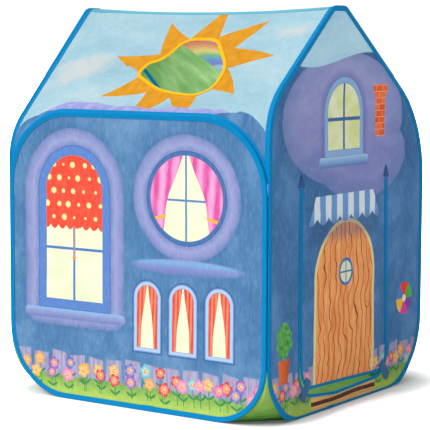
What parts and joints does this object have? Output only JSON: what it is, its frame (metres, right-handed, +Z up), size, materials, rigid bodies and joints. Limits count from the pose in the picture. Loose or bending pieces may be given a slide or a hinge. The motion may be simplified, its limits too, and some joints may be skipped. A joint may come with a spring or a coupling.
{
  "type": "kids play tent",
  "caption": "Pop-up play house tent for children with a pitched roof, a roof window, a sewn-in floor and a strap-closed door flap.",
  "frame": {"origin": "on the ground at the middle of the footprint's bounding box", "axes": "+Z up, -Y out of the long front wall, +X out of the gable wall with the door"},
  "size_m": [0.82, 0.79, 1.02],
  "materials": {
    "spring_steel": "dull round spring wire",
    "crimped_steel": "bright crimped tube",
    "blue_binding": "folded bright blue binding",
    "wall_fabric": "thin printed polyester, steel blue",
    "roof_fabric": "thin printed polyester, light sky blue",
    "floor_fabric": "thin green polyester",
    "ridge_fabric": "turquoise tape",
    "yellow_trim": "narrow yellow binding",
    "door_fabric": "thin printed polyester, plank pattern",
    "strap_webbing": "grey-blue webbing",
    "patch_fabric": "dark blue reinforcing patch",
    "grip_tape": "hook-and-loop tape"
  },
  "bodies": {
    "tent": {"front_hoop_wire": "spring_steel", "back_hoop_wire": "spring_steel", "left_hoop_wire": "spring_steel", "right_hoop_wire": "spring_steel", "front_hoop_ferrule": "crimped_steel", "back_hoop_ferrule": "crimped_steel", "left_hoop_ferrule": "crimped_steel", "right_hoop_ferrule": "crimped_steel", "front_hoop_binding": "blue_binding", "back_hoop_binding": "blue_binding", "left_hoop_binding": "blue_binding", "right_hoop_binding": "blue_binding", "front_wall_panel": "wall_fabric", "back_wall_panel": "wall_fabric", "left_gable_panel": "wall_fabric", "right_gable_panel": "wall_fabric", "roof_front_panel": "roof_fabric", "roof_back_panel": "roof_fabric", "roof_window_trim": "yellow_trim", "ridge_tape": "ridge_fabric", "floor_panel": "floor_fabric", "gusset_front_left": "floor_fabric", "gusset_front_right": "floor_fabric", "gusset_back_left": "floor_fabric", "gusset_back_right": "floor_fabric", "joining_tape_front_left": "blue_binding", "joining_tape_front_right": "blue_binding", "joining_tape_back_left": "blue_binding", "joining_tape_back_right": "blue_binding", "doorway_trim": "blue_binding", "slit_patch_front": "patch_fabric", "slit_patch_back": "patch_fabric", "loop_patch_front": "grip_tape", "loop_patch_back": "grip_tape"},
    "door": {"door_flap": "door_fabric", "door_flap_trim": "blue_binding"},
    "strap_front": {"door_strap_front": "strap_webbing", "hook_patch_front": "grip_tape"},
    "strap_back": {"door_strap_back": "strap_webbing", "hook_patch_back": "grip_tape"}
  },
  "joints": [
    {"name": "door_lift", "type": "hinge", "parent": "tent", "child": "door", "pos_m": [0.4071, -0.0295, 0.575], "axis": [0, -1, 0], "range_deg": [0, 150]},
    {"name": "strap_front_peel", "type": "hinge", "parent": "door", "child": "strap_front", "pos_m": [0.4087, -0.20334, 0.092], "axis": [0, -0.848, 0.5299], "range_deg": [0, 110]},
    {"name": "strap_back_peel", "type": "hinge", "parent": "door", "child": "strap_back", "pos_m": [0.4087, 0.16634, 0.07704], "axis": [0, -0.7314, -0.682], "range_deg": [0, 110]}
  ]
}
